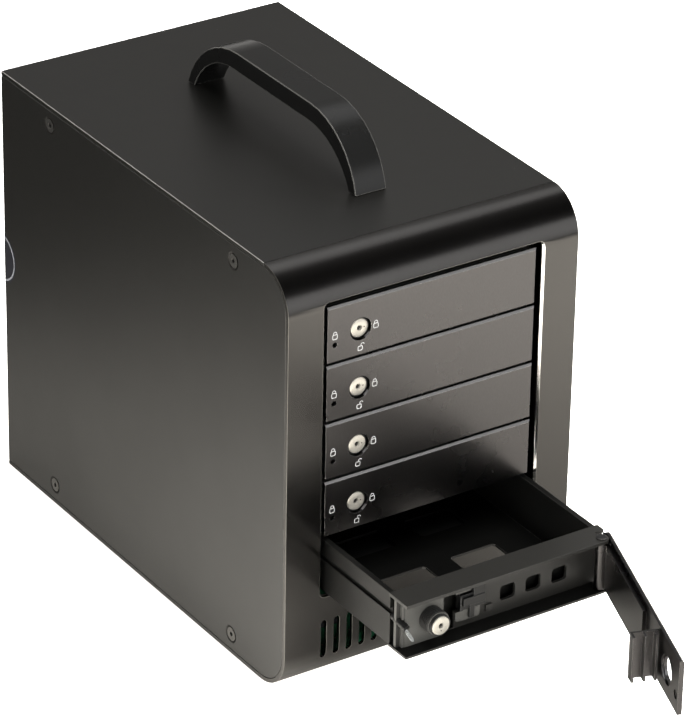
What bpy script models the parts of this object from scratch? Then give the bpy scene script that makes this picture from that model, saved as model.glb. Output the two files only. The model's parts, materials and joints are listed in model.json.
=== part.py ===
"""Five-bay network storage enclosure: rounded front bezel, five lever trays and a carrying handle.

Lengths are in millimetres in this file and become Blender's metres where a mesh or a place is made.
The case frame has x across (0 at the middle), y back from the bezel's front face and z up from the
case bottom. The bottom tray is pulled out with its door open, and that is the rest pose.
"""

from math import asin, cos, degrees, radians, sin, sqrt

import bmesh
import bpy
from mathutils import Vector

# ---------------------------------------------------------------- driving dimensions
MM = 0.001
GAP = 0.3  # clearance between pieces that rest on each other

CASE_WIDTH = 158.5
CASE_DEPTH = 258.0
CASE_HEIGHT = 218.0
SHEET = 2.0  # bezel, top cover and base plate
PANEL = 1.8  # side and rear panels
CORNER_RADIUS = 20.7  # the bezel's roll at the top and the bottom
FOOT_HEIGHT = 3.0
FOOT_INSET = 20.0

BAY_COUNT = 5
BAY_PITCH = 30.0
TOP_BAY_Z = 183.8
OPENING_HALF_WIDTH = 59.5
OPENING_BOTTOM = 48.7
OPENING_TOP = 200.7
OPENING_CHAMFER = 1.0
VENT_COUNT = 17
VENT_PITCH = 7.1
VENT_FIRST_X = -57.8
VENT_WIDTH = 3.2
VENT_BOTTOM = 14.8
VENT_TOP = 35.7

FACE_RECESS = 1.2  # closed door behind the bezel's front face
TRAY_EXTENSION = 71.0  # how far the bottom tray is pulled out
DOOR_OPEN = 70.4  # degrees, the bottom tray's door
DOOR_HALF_HEIGHT = 14.0
DOOR_LEFT = -57.55
PIN_X = 52.25
PIN_Y = 5.9  # behind the door's face
HEAD_HALF_WIDTH = 57.75
CARRIER_HALF_WIDTH = 56.9
CARRIER_FRONT = 17.3
CARRIER_REAR = 162.3
LOCK_X = -39.75
LOCK_Z = -1.1
LOCK_FACE = 1.0  # the plug's face behind the closed door's face
LOCK_RADIUS = 4.7
LATCH_X = -25.2  # the catch's tip while locked
LATCH_TRAVEL = 2.2
SLOT_LEFT = -32.3  # the slot that the door's hook enters
SLOT_RIGHT = -25.2
DOOR_PLATE = 2.2
HOOK_X = -79.2  # from the hinge pin
HOOK_DEPTH = 9.8
LAMP_X = -53.55
LAMP_Z = -5.6
GROOVE_LOW = 2.5
GROOVE_HIGH = 5.3
FLOOR_TOP = -12.6

SCREW_Y = (46.6, 211.5)
SCREW_EDGE = 10.4  # side screws below the top and above the bottom
CAGE_FRONT = 20.0
CAGE_REAR = 173.0
CAGE_LOW = 47.0
CAGE_TOP = 200.5
CAGE_SHEET = 1.5
CAGE_HALF_WIDTH = 58.3
RIB_HALF_WIDTH = 55.8
RIB_LOW = 2.9
RIB_HIGH = 4.9
BACKPLANE_Y = 174.5
STANDOFFS = ((-62, 28), (62, 28), (-62, 78), (20, 150), (66, 240))
BOARD_Z = 8.0
BOARD_THICKNESS = 1.6
JACK_X = (22.0, 39.5)
JACK_TOP = 38.5
JACK_DEPTH = 21.0
FAN_Z = 128.0
FAN_SIZE = 120.0
FAN_DEPTH = 25.0
FAN_DUCT_RADIUS = 57.2
FAN_REAR = CASE_DEPTH - PANEL - GAP
FAN_FRONT = FAN_REAR - FAN_DEPTH
FAN_SCREW = 52.5  # from the fan's middle, both ways
ROCKER_TILT = 8.0
INLET_X = -42.0
INLET_Z = 25.0
SOCKET_X = INLET_X - 9.5
ROCKER_X = INLET_X + 16.0
INLET_PROUD = 2.5  # inlet flange behind the rear panel
HANDLE_FRONT = 54.2
HANDLE_BACK = 201.0
HANDLE_RISE = 32.0
HANDLE_WIDTH = 17.0
HANDLE_FOOT = 5.9  # the strap's depth where it meets the cover
HANDLE_THICKNESS = 9.3  # and along its top
HANDLE_FRONT_RADIUS = 40.0
HANDLE_BACK_RADIUS = 47.0
HANDLE_INNER_RADIUS = 38.0

HALF = CASE_WIDTH / 2
INNER_HALF = HALF - PANEL - 0.35  # room between the side panels


def bay_z(bay):
    return TOP_BAY_Z - BAY_PITCH * bay


def tip_y():
    """The open door's foremost corner, in the case frame."""
    angle = radians(DOOR_OPEN)
    pin = FACE_RECESS - TRAY_EXTENSION + PIN_Y
    return pin - (PIN_X - DOOR_LEFT) * sin(angle) - PIN_Y * cos(angle)


# the origin is below the middle of the whole object's box
CASE_FRONT_Y = -(tip_y() + CASE_DEPTH + GAP + INLET_PROUD) / 2


# ---------------------------------------------------------------- outlines
def arc(centre, radius, start, end, steps):
    """Points on an arc, from the start angle to the end angle in degrees."""
    points = []
    for i in range(steps + 1):
        angle = radians(start + (end - start) * i / steps)
        points.append((centre[0] + radius * cos(angle), centre[1] + radius * sin(angle)))
    return points


def circle(centre, radius, sides):
    return arc(centre, radius, 0, 360 - 360 / sides, sides - 1)


def rectangle(a0, a1, b0, b1, radius=0.0, steps=3):
    """A rectangle's outline, with round corners where a radius is given."""
    if radius == 0:
        return [(a0, b0), (a1, b0), (a1, b1), (a0, b1)]
    corners = ((a1, b0, -90), (a1, b1, 0), (a0, b1, 90), (a0, b0, 180))
    points = []
    for a, b, start in corners:
        centre = (a - radius if a == a1 else a + radius, b - radius if b == b1 else b + radius)
        points += arc(centre, radius, start, start + 90, steps)
    return points


def stadium(a, b0, b1, width, steps=3):
    """An upright slot's outline with round ends."""
    r = width / 2
    return arc((a, b1 - r), r, 0, 180, steps) + arc((a, b0 + r), r, 180, 360, steps)


def hexagon(centre, radius):
    """A hexagon given by twelve points, two for each side."""
    points = []
    for i in range(6):
        a = circle(centre, radius, 6)[i]
        b = circle(centre, radius, 6)[(i + 1) % 6]
        points += [a, ((a[0] + b[0]) / 2, (a[1] + b[1]) / 2)]
    return points


# ---------------------------------------------------------------- solids
def lift(outline, axis, depth):
    """Puts a flat outline at a depth along an axis: (y, z), (x, z) or (x, y) for X, Y or Z."""
    if axis == "X":
        return [(depth, a, b) for a, b in outline]
    if axis == "Y":
        return [(a, depth, b) for a, b in outline]
    return [(a, b, depth) for a, b in outline]


def loft(sections):
    """A closed solid through sections of equally many points, capped at both ends."""
    shape = bmesh.new()
    rings = [[shape.verts.new(Vector(p) * MM) for p in section] for section in sections]
    count = len(rings[0])
    for low, high in zip(rings, rings[1:]):
        for i in range(count):
            j = (i + 1) % count
            shape.faces.new((low[i], low[j], high[j], high[i]))
    shape.faces.new(rings[0])
    shape.faces.new(rings[-1])
    bmesh.ops.recalc_face_normals(shape, faces=shape.faces)
    return shape


def prism(outline, axis, low, high):
    return loft([lift(outline, axis, low), lift(outline, axis, high)])


def block(x0, x1, y0, y1, z0, z1):
    return prism(rectangle(x0, x1, y0, y1), "Z", z0, z1)


def rod(axis, centre, radius, low, high, sides=16):
    return prism(circle(centre, radius, sides), axis, low, high)


def turned(axis, centre, profile, sides=12):
    """A turned solid; the profile lists (radius, depth) from one end's middle to the other's."""
    return loft([lift(circle(centre, radius, sides), axis, depth) for radius, depth in profile])


def as_object(shape, name):
    mesh = bpy.data.meshes.new(name)
    shape.to_mesh(mesh)
    shape.free()
    thing = bpy.data.objects.new(name, mesh)
    bpy.context.scene.collection.objects.link(thing)
    return thing


def merged(shapes):
    """Several separate solids in one mesh, to cut with in one go."""
    whole = bmesh.new()
    for shape in shapes:
        part = bpy.data.meshes.new("part")
        shape.to_mesh(part)
        shape.free()
        whole.from_mesh(part)
        bpy.data.meshes.remove(part)
    return whole


def combine(base, tool, operation):
    """One Boolean step between two bmesh solids, worked out at once."""
    target = as_object(base, "target")
    other = as_object(tool, "tool")
    other.hide_render = True
    other.display_type = "WIRE"
    step = target.modifiers.new("step", "BOOLEAN")
    step.operation = operation
    step.solver = "EXACT"
    step.object = other
    evaluated = target.evaluated_get(bpy.context.evaluated_depsgraph_get())
    result = bmesh.new()
    result.from_mesh(evaluated.to_mesh())
    evaluated.to_mesh_clear()
    for thing in (target, other):
        mesh = thing.data
        bpy.data.objects.remove(thing)
        bpy.data.meshes.remove(mesh)
    return result


def fuse(base, *others):
    for other in others:
        base = combine(base, other, "UNION")
    return base


def cut(base, *tools):
    return combine(base, merged(tools), "DIFFERENCE")


def finished(shape, name, smooth_angle=35.0):
    """The solid's mesh, merged where points coincide and shaded smooth on its round parts."""
    bmesh.ops.remove_doubles(shape, verts=shape.verts, dist=1e-6)
    mesh = bpy.data.meshes.new(name)
    shape.to_mesh(mesh)
    shape.free()
    mesh.shade_smooth()
    mesh.set_sharp_from_angle(angle=radians(smooth_angle))
    return mesh


# ---------------------------------------------------------------- materials and placing
MATERIALS = {
    "case_black": ((0.045, 0.042, 0.038), 0.42, 0.35),
    "bezel_black": ((0.075, 0.073, 0.068), 0.36, 0.55),
    "door_black": ((0.065, 0.064, 0.062), 0.34, 0.5),
    "tray_black": ((0.02, 0.02, 0.02), 0.5, 0.2),
    "handle_black": ((0.02, 0.02, 0.02), 0.32, 0.3),
    "lock_steel": ((0.75, 0.72, 0.64), 0.25, 1.0),
    "black_plastic": ((0.012, 0.012, 0.012), 0.4, 0.0),
    "screw_black": ((0.03, 0.03, 0.03), 0.35, 0.8),
    "pin_steel": ((0.05, 0.05, 0.05), 0.35, 0.9),
    "cage_black": ((0.02, 0.02, 0.02), 0.45, 0.6),
    "zinc_plate": ((0.55, 0.56, 0.57), 0.38, 1.0),
    "circuit_green": ((0.015, 0.16, 0.07), 0.45, 0.0),
    "foot_rubber": ((0.02, 0.02, 0.02), 0.85, 0.0),
}


def material(name):
    known = bpy.data.materials.get(name)
    if known:
        return known
    colour, roughness, metallic = MATERIALS[name]
    made = bpy.data.materials.new(name)
    made.use_nodes = True
    surface = made.node_tree.nodes["Principled BSDF"]
    surface.inputs["Base Color"].default_value = (*colour, 1.0)
    surface.inputs["Roughness"].default_value = roughness
    surface.inputs["Metallic"].default_value = metallic
    return made


def frame(name, parent=None, place=(0, 0, 0)):
    empty = bpy.data.objects.new(name, None)
    bpy.context.scene.collection.objects.link(empty)
    empty.parent = parent
    empty.location = Vector(place) * MM
    return empty


def add(name, mesh, finish, parent, place=(0, 0, 0), turn=(0, 0, 0)):
    """One named piece; turn is its rotation in degrees about its own origin."""
    thing = bpy.data.objects.new(name, mesh)
    if not mesh.materials:
        mesh.materials.append(material(finish))
    bpy.context.scene.collection.objects.link(thing)
    thing.parent = parent
    thing.location = Vector(place) * MM
    thing.rotation_euler = [radians(angle) for angle in turn]
    return thing


# ---------------------------------------------------------------- casing
def front_bezel():
    """A sheet that rolls back over the top and the bottom, with the bay opening and the vents."""
    r = CORNER_RADIUS
    top = CASE_HEIGHT - r
    outline = arc((r, top), r, 90, 180, 9) + arc((r, r), r, 180, 270, 9)
    outline += arc((r, r), r - SHEET, 270, 180, 9) + arc((r, top), r - SHEET, 180, 90, 9)
    sheet = prism(outline, "X", -HALF, HALF)

    def opening(grow, y):
        w = OPENING_HALF_WIDTH + grow
        shape = rectangle(-w, w, OPENING_BOTTOM - grow, OPENING_TOP + grow, 2.0 + grow)
        return lift(shape, "Y", y)

    c = OPENING_CHAMFER
    hole = loft([opening(c + 0.5, -0.5), opening(0, c), opening(0, SHEET + 1)])
    vents = []
    for i in range(VENT_COUNT):
        x = VENT_FIRST_X + VENT_PITCH * i
        vents.append(prism(stadium(x, VENT_BOTTOM, VENT_TOP, VENT_WIDTH), "Y", -1, SHEET + 1))
    return finished(cut(sheet, hole, *vents), "front_bezel")


def cover_with_lips(plate_low, plate_high, lip_end, screw_z):
    """A plate over the case's full width with two lips inside the side panels."""
    front = CORNER_RADIUS + GAP
    plate = block(-HALF, HALF, front, CASE_DEPTH, plate_low, plate_high)
    low = min(lip_end, plate_low + 0.5)
    high = max(lip_end, plate_high - 0.5)
    rear = CASE_DEPTH - PANEL - 1.0
    lips = []
    holes = []
    for side in (-1, 1):
        outer = side * INNER_HALF
        inner = side * (INNER_HALF - 1.5)
        lips.append(block(min(outer, inner), max(outer, inner), front + 1, rear, low, high))
        for y in SCREW_Y:
            low_x = min(outer, inner) - 1
            holes.append(rod("X", (y, screw_z), 2.25, low_x, low_x + 3.5, 12))
    return cut(fuse(plate, *lips), *holes)


def top_cover():
    high = CASE_HEIGHT
    shape = cover_with_lips(high - SHEET, high, high - 16.0, high - SCREW_EDGE)
    return finished(shape, "top_cover")


def base_plate():
    shape = cover_with_lips(0.0, SHEET, 16.0, SCREW_EDGE)
    posts = [rod("Z", place, 3.0, SHEET - 0.8, BOARD_Z - GAP, 8) for place in STANDOFFS]
    posts += [block(x, x + 6, 87.0, 91.5, SHEET - 0.8, 14) for x in (-70, 1)]
    return finished(fuse(shape, *posts), "base_plate")


def side_panel(side):
    """A flat panel whose front corners follow the inside of the bezel's roll."""
    edge = SHEET + GAP
    r = CORNER_RADIUS - edge
    top = CASE_HEIGHT - edge
    outline = [(CASE_DEPTH, edge), (CASE_DEPTH, top)]
    outline += arc((edge + r, top - r), r, 90, 180, 8)
    outline += arc((edge + r, edge + r), r, 180, 270, 8)
    outer = side * HALF
    inner = side * (HALF - PANEL)
    panel = prism(outline, "X", inner, outer)
    seats = []
    for y in SCREW_Y:
        for z in (SCREW_EDGE, CASE_HEIGHT - SCREW_EDGE):
            wide = [(4.9, outer + side * 0.5), (2.25, outer - side * 2.15), (2.25, inner - side)]
            seats.append(turned("X", (y, z), wide))
    return finished(cut(panel, *seats), "side_panel")


def side_screw():
    """A countersunk socket screw that lies along x, with its head's face at x = 0."""
    origin = (0.0, 0.0)
    sections = [
        lift(hexagon(origin, 1.45), "X", 1.5),
        lift(hexagon(origin, 1.45), "X", 0.0),
        lift(circle(origin, 4.05, 12), "X", 0.0),
        lift(circle(origin, 1.9, 12), "X", 2.2),
        lift(circle(origin, 1.9, 12), "X", 7.0),
    ]
    return finished(loft(sections), "side_screw")


def fan_screw_holes(low, high):
    centres = [(x, FAN_Z + z) for x in (-FAN_SCREW, FAN_SCREW) for z in (-FAN_SCREW, FAN_SCREW)]
    return [rod("Y", centre, 2.2, low, high, 8) for centre in centres]


def rear_panel():
    edge = SHEET + GAP
    outer = CASE_DEPTH
    inner = CASE_DEPTH - PANEL
    w = INNER_HALF
    panel = prism(rectangle(-w, w, edge, CASE_HEIGHT - edge), "Y", inner, outer)
    through = (inner - 1, outer + 1)
    tools = [rod("Y", (0, FAN_Z), 56.0, *through, 36)] + fan_screw_holes(*through)
    inlet = rectangle(INLET_X - 24.2, INLET_X + 24.2, INLET_Z - 14.2, INLET_Z + 14.2, 2.0, 2)
    tools.append(prism(inlet, "Y", *through))
    tools.append(block(JACK_X[0] - 0.5, JACK_X[1] + 0.5, *through, BOARD_Z + 1.2, JACK_TOP + 0.5))
    for i in range(5):
        x = 47.0 + 5.0 * i
        tools.append(block(x, x + 2.4, *through, 13.0, 38.0))
    return finished(cut(panel, *tools), "rear_panel")


def foot():
    profile = [(6.6, -FOOT_HEIGHT), (7.6, -FOOT_HEIGHT + 1.0), (8.0, -GAP)]
    return finished(turned("Z", (0, 0), profile, 16), "foot")


def handle():
    """A strap bent over two shoulders, thicker along its top than at its feet."""
    low = CASE_HEIGHT + GAP
    crest = CASE_HEIGHT + HANDLE_RISE
    under = crest - HANDLE_THICKNESS

    def shoulder(foot_y, level, radius, facing):
        """Points from a foot up to a level on an arc; facing is 1 at the front and -1 at the back."""
        rise = low - (level - radius)
        centre = (foot_y + facing * sqrt(radius**2 - rise**2), level - radius)
        lean = degrees(asin(rise / radius))
        start = 180 - lean if facing == 1 else lean
        return arc(centre, radius, start, 90, 8)

    outline = shoulder(HANDLE_FRONT, crest, HANDLE_FRONT_RADIUS, 1)
    outline += reversed(shoulder(HANDLE_BACK, crest, HANDLE_BACK_RADIUS, -1))
    outline += shoulder(HANDLE_BACK - HANDLE_FOOT, under, HANDLE_INNER_RADIUS, -1)
    outline += reversed(shoulder(HANDLE_FRONT + HANDLE_FOOT, under, HANDLE_INNER_RADIUS, 1))
    return finished(prism(outline, "X", -HANDLE_WIDTH / 2, HANDLE_WIDTH / 2), "handle")


# ---------------------------------------------------------------- inside the case
def drive_cage():
    """A folded U of sheet with a pair of guide ribs for each tray."""
    inner = CAGE_HALF_WIDTH
    outer = inner + CAGE_SHEET
    ribs = [(bay_z(bay) + RIB_LOW, bay_z(bay) + RIB_HIGH) for bay in range(BAY_COUNT)]
    outline = [(-outer, CAGE_TOP), (-outer, CAGE_LOW), (outer, CAGE_LOW), (outer, CAGE_TOP)]
    outline.append((inner, CAGE_TOP))
    for low, high in ribs:
        outline += [(inner, high), (RIB_HALF_WIDTH, high), (RIB_HALF_WIDTH, low), (inner, low)]
    outline += [(inner, CAGE_LOW + CAGE_SHEET), (-inner, CAGE_LOW + CAGE_SHEET)]
    for low, high in reversed(ribs):
        outline += [(-inner, low), (-RIB_HALF_WIDTH, low), (-RIB_HALF_WIDTH, high), (-inner, high)]
    outline.append((-inner, CAGE_TOP))
    return finished(prism(outline, "Y", CAGE_FRONT, CAGE_REAR), "drive_cage")


def cage_top():
    w = CAGE_HALF_WIDTH + CAGE_SHEET
    low = CAGE_TOP + GAP
    return finished(block(-w, w, CAGE_FRONT, CAGE_REAR, low, low + CAGE_SHEET), "cage_top")


def backplane_board():
    """The upright board behind the trays: a connector and an air slot for each bay."""
    board = block(-57, 57, BACKPLANE_Y, BACKPLANE_Y + 1.6, 49, 199)
    connectors = []
    slots = []
    for bay in range(BAY_COUNT):
        z = bay_z(bay)
        connectors.append(block(-8, 30, BACKPLANE_Y - 6.3, BACKPLANE_Y + 0.5, z - 10.5, z - 5.5))
        slots.append(block(-50, 50, BACKPLANE_Y - 1, BACKPLANE_Y + 3, z + 1, z + 11))
    return finished(cut(fuse(board, merged(connectors)), *slots), "backplane_board")


def controller_board():
    """An L-shaped board behind the vents that reaches back to the jack in the rear panel."""
    outline = [(-70, 10), (72, 10), (72, 252), (14, 252), (14, 86), (-70, 86)]
    board = prism(outline, "Z", BOARD_Z, BOARD_Z + BOARD_THICKNESS)
    low = BOARD_Z + BOARD_THICKNESS - 0.4
    raised = [
        block(-50, -30, 30, 50, low, 12.0),
        block(-20, -6, 34, 48, low, 11.2),
        block(10, 38, 28, 56, low, 19.0),
        block(46, 54, 20, 66, low, 13.0),
        block(30, 50, 110, 130, low, 12.0),
        block(-66, -58, 24, 74, low, 17.0),
    ]
    return finished(fuse(board, merged(raised)), "controller_board")


def port_jack():
    """One stacked jack on the board: a network socket below two flat sockets."""
    rear = CASE_DEPTH - GAP
    body = block(*JACK_X, rear - JACK_DEPTH, rear, BOARD_Z + BOARD_THICKNESS + GAP, JACK_TOP)
    network = block(JACK_X[0] + 2.75, JACK_X[1] - 2.75, rear - 14, rear + 1, 12.5, 20.5)
    flat = [block(JACK_X[0] + 2, JACK_X[1] - 2, rear - 12, rear + 1, z, z + 5.5) for z in (23.2, 31.4)]
    return finished(cut(body, network, *flat), "port_jack")


def power_supply():
    """A sheet box with air slots in its rear wall."""
    low = SHEET + GAP
    body = block(-72, 9.5, 92, 222, low, low + 40.5)
    inside = block(-71, 8.5, 93, 221, low + 1, low + 39.5)
    slots = [block(-64 + 9 * i, -60 + 9 * i, 220, 223, low + 8, low + 32) for i in range(8)]
    return finished(cut(cut(body, inside), *slots), "power_supply")


def fan_housing():
    """A square frame round the air duct, with a motor hub on four struts at its rear."""
    half = FAN_SIZE / 2
    square = rectangle(-half, half, FAN_Z - half, FAN_Z + half, 6.0)
    body = prism(square, "Y", FAN_FRONT, FAN_REAR)
    duct = rod("Y", (0, FAN_Z), FAN_DUCT_RADIUS, FAN_FRONT - 1, FAN_REAR + 1, 32)
    body = cut(body, duct, *fan_screw_holes(FAN_FRONT - 1, FAN_REAR + 1))
    level = block(-half + 1, half - 1, FAN_REAR - 3.2, FAN_REAR - 0.7, FAN_Z - 2.5, FAN_Z + 2.5)
    upright = block(-2.5, 2.5, FAN_REAR - 3.0, FAN_REAR - 0.9, FAN_Z - half + 1, FAN_Z + half - 1)
    hub = rod("Y", (0, FAN_Z), 19.5, FAN_REAR - 4.0, FAN_REAR - 0.4, 16)
    return finished(fuse(body, level, upright, hub), "fan_housing")


def fan_blade(turn):
    """One twisted blade, as a loft through three chords from the hub outwards."""
    sections = []
    stations = ((17.0, 9.5, 50, 0), (36.0, 12.5, 41, 7), (54.0, 14.5, 33, 16))
    for radius, half_chord, pitch, sweep in stations:
        at = radians(turn + sweep)
        outward = Vector((cos(at), 0, sin(at)))
        round_hub = Vector((-sin(at), 0, cos(at)))
        chord = round_hub * cos(radians(pitch)) + Vector((0, sin(radians(pitch)), 0))
        across = -round_hub * sin(radians(pitch)) + Vector((0, cos(radians(pitch)), 0))
        middle = outward * radius
        corners = ((-half_chord, -0.6), (half_chord, -0.6), (half_chord, 0.6), (-half_chord, 0.6))
        sections.append([middle + chord * along + across * off for along, off in corners])
    return loft(sections)


def fan_rotor():
    """Hub and seven blades about the y axis, with the origin at the middle of the blades."""
    profile = [(14.0, -9.6), (18.5, -7.6), (18.5, 9.4)]
    hub = turned("Y", (0, 0), profile, 20)
    return finished(fuse(hub, *[fan_blade(360 * i / 7) for i in range(7)]), "fan_rotor")


def fan_guard():
    """A stamped finger guard outside the rear panel: rings of arc slots."""
    low = CASE_DEPTH + GAP
    high = low + 1.2
    plate = prism(rectangle(-57.5, 57.5, FAN_Z - 57.5, FAN_Z + 57.5, 9.0), "Y", low, high)
    slots = []
    centre = (0, FAN_Z)
    for radius in (16.0, 30.0, 44.0):
        gap_angle = degrees(2.2 / radius)
        for quarter in range(4):
            start = 45 + 90 * quarter + gap_angle
            end = 135 + 90 * quarter - gap_angle
            outline = arc(centre, radius + 11, start, end, 5) + arc(centre, radius, end, start, 5)
            slots.append(prism(outline, "Y", low - 1, high + 1))
    return finished(cut(plate, *slots, *fan_screw_holes(low - 1, high + 1)), "fan_guard")


def power_inlet():
    """A three-pin appliance inlet with the recess of the rocker switch beside it."""
    back = CASE_DEPTH + GAP
    face = back + INLET_PROUD
    z = INLET_Z
    flange = rectangle(INLET_X - 29, INLET_X + 29, z - 16, z + 16, 2.5)
    body = prism(flange, "Y", back, face)
    inside = rectangle(INLET_X - 23.7, INLET_X + 23.7, z - 13.7, z + 13.7, 1.5, 2)
    body = fuse(body, prism(inside, "Y", back - 25, back + 1))
    x = SOCKET_X
    socket = [(x - 12, z - 8), (x + 12, z - 8), (x + 12, z + 3)]
    socket += [(x + 7, z + 8), (x - 7, z + 8), (x - 12, z + 3)]
    recess = block(ROCKER_X - 5.9, ROCKER_X + 5.9, back - 9, face + 1, z - 9.9, z + 9.9)
    body = cut(body, prism(socket, "Y", back - 15, face + 1), recess)
    pins = []
    for px, pz in ((x - 7, z - 2), (x + 7, z - 2), (x, z + 2)):
        pins.append(block(px - 1, px + 1, back - 16, back - 2.5, pz - 2, pz + 2))
    return finished(fuse(body, merged(pins)), "power_inlet")


def power_rocker():
    """A rocker about the x axis, with a shallow V for its outer face."""
    outline = [(-5, -3), (-2, -8.6), (2.6, -9.0), (1.5, 0), (2.6, 9.0), (-2, 8.6), (-5, 3)]
    return finished(prism(outline, "X", -5.4, 5.4), "power_rocker")


# ---------------------------------------------------------------- one tray
def tray_carrier():
    """The drive's U-shaped tray, with a groove in each side wall for the cage's ribs."""
    w = CARRIER_HALF_WIDTH
    groove = w - 1.5
    inner = w - 2.8
    right = [(w, -13.9), (w, GROOVE_LOW), (groove, GROOVE_LOW), (groove, GROOVE_HIGH)]
    right += [(w, GROOVE_HIGH), (w, 13.2), (inner, 13.2), (inner, FLOOR_TOP)]
    outline = right + [(-x, z) for x, z in reversed(right)]
    shell = prism(outline, "Y", CARRIER_FRONT, CARRIER_REAR)
    front = block(-inner - 0.5, inner + 0.5, CARRIER_FRONT + 0.2, CARRIER_FRONT + 1.7, -13.2, 10.5)
    windows = []
    for x0, x1 in ((-31.0, -5.7), (8.4, 33.7)):
        for y0, y1 in ((28.0, 64.5), (87.0, 103.5), (124.0, 140.0)):
            windows.append(prism(rectangle(x0, x1, y0, y1, 1.2, 1), "Z", -15, FLOOR_TOP + 1))
    return finished(cut(fuse(shell, front), *windows), "tray_carrier")


def tray_head():
    """The front frame: flange, bottom sheet and front wall, with the lock's sleeve and the slots."""
    w = HEAD_HALF_WIDTH
    pin = (PIN_X, PIN_Y)
    plan = [(-w, 17.0), (-w, 2.5)] + arc(pin, PIN_Y - 2.5, -90, 84, 6)
    neck = plan[-1][0]
    plan += [(neck, 11.7), (w, 11.7), (w, 17.0)]
    flange = prism(plan, "Z", 12.4, DOOR_HALF_HEIGHT)
    sheet = prism(plan, "Z", -DOOR_HALF_HEIGHT, -12.8)
    low, high = -13.4, 13.0
    wall = block(-w + 0.75, w - 0.75, 12.0, 13.8, low, high)
    left_end = block(-54.8, -53.3, 10.4, 16.6, low, high)
    right_end = block(w - 1.6, w - 0.3, 12.6, 16.6, low, high)
    lock_block = block(-53.6, SLOT_LEFT - 0.2, 10.0, 13.0, low, high)
    pad = prism(rectangle(SLOT_RIGHT + 0.2, -11.4, -9.6, 13.1, 1.6), "Y", 11.2, 12.6)
    nub = block(-8.2, -4.8, 10.8, 12.6, -8.8, -5.4)
    sleeve = rod("Y", (LOCK_X, LOCK_Z), 5.9, 3.2, 11.0, 20)
    shape = fuse(wall, flange, sheet, left_end, right_end, lock_block, pad, nub, sleeve)
    tools = [
        block(SLOT_LEFT, SLOT_RIGHT, 9, 15, -12.4, 12.1),
        block(SLOT_RIGHT - 0.3, -8.4, 10.5, 15, -4.3, 5.1),
        rod("Y", (LOCK_X, LOCK_Z), LOCK_RADIUS + 0.25, 0.5, 15, 20),
        rod("Z", pin, 1.8, -15, 15, 8),
    ]
    for x in (4.4, 18.7, 33.3):
        tools.append(prism(rectangle(x - 4.2, x + 4.2, -6.4, 1.4, 1.1, 1), "Y", 11, 15))
    for tool in tools:
        shape = cut(shape, tool)
    return finished(shape, "tray_head")


def tray_door():
    """The lever that is the tray's face, with its origin on the hinge pin's axis."""
    left = DOOR_LEFT - PIN_X
    face = -PIN_Y
    back = face + DOOR_PLATE
    h = DOOR_HALF_HEIGHT
    outline = [(left, face)] + arc((3.2, face + 1.5), 1.5, -90, 0, 4)
    outline += [(4.7, face + 4), (3.2, face + 4), (3.2, back), (left, back)]
    plate = prism(outline, "Z", -h, h)
    pad = block(-60.0, 1.0, back - 0.6, back + 2.0, -12.3, 10.6)
    web = block(-2.6, 3.7, back - 0.6, -0.3, -12.3, 11.9)
    knuckle = rod("Z", (0, 0), 2.9, -12.2, 12.0, 12)
    hook = block(HOOK_X, HOOK_X + 1.2, back - 0.6, HOOK_DEPTH, -12.0, 11.8)
    ribs = []
    for y in (-2.2, 3.0, HOOK_DEPTH - 1.2):
        ribs.append(block(HOOK_X - 4.1, HOOK_X + 0.4, y, y + 1.1, -11.9, 11.7))
    shape = fuse(plate, pad, web, knuckle, hook, merged(ribs))
    lock = (LOCK_X - PIN_X, LOCK_Z)
    lamp = (LAMP_X - PIN_X, LAMP_Z)
    chamfer = [(face - 0.6, h - 1.66), (face + 1.5, h + 0.65), (face - 0.6, h + 0.65)]
    tools = [
        rod("Y", lock, 5.8, face - 1, back + 1, 24),
        rod("Y", lock, 7.4, back - 0.8, back + 1, 16),
        rod("Y", lamp, 1.4, face - 1, back + 1, 8),
        rod("Y", lamp, 2.4, back - 0.8, back + 1, 8),
        rod("Z", (0, 0), 1.8, -15, 15, 8),
        prism(chamfer, "X", left - 1, 6),
    ]
    for tool in tools:
        shape = cut(shape, tool)
    return finished(shape, "tray_door")


def tray_lock():
    """The turning plug of the lock with its cam, about the y axis; y = 0 is the door's face."""
    near = LOCK_FACE
    profile = [(1.3, near + 1.5), (1.3, near), (4.3, near), (4.7, near + 0.4), (4.7, 14.9)]
    cam = block(-7.0, 2.0, 14.2, 15.6, -2.2, 2.2)
    return finished(fuse(turned("Y", (0, 0), profile, 20), cam), "tray_lock")


def tray_latch():
    """The sliding catch beside the slot, with its origin at the tip that points at the slot."""
    body = block(0, 14.0, 10.2, 14.4, -3.6, 4.4)
    nose = block(0.6, 12.4, 8.4, 10.8, -0.8, 3.4)
    stem = block(4.6, 7.4, 9.2, 10.7, -8.0, 0.2)
    tab = block(6.4, 12.8, 8.9, 10.9, 2.6, 7.6)
    return finished(fuse(body, nose, stem, tab), "tray_latch")


def hinge_pin():
    profile = [(1.3, -13.7), (1.3, 14.0 + GAP), (2.6, 14.0 + GAP), (2.6, 14.7), (1.9, 15.0)]
    return finished(turned("Z", (0, 0), profile, 10), "hinge_pin")


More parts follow.
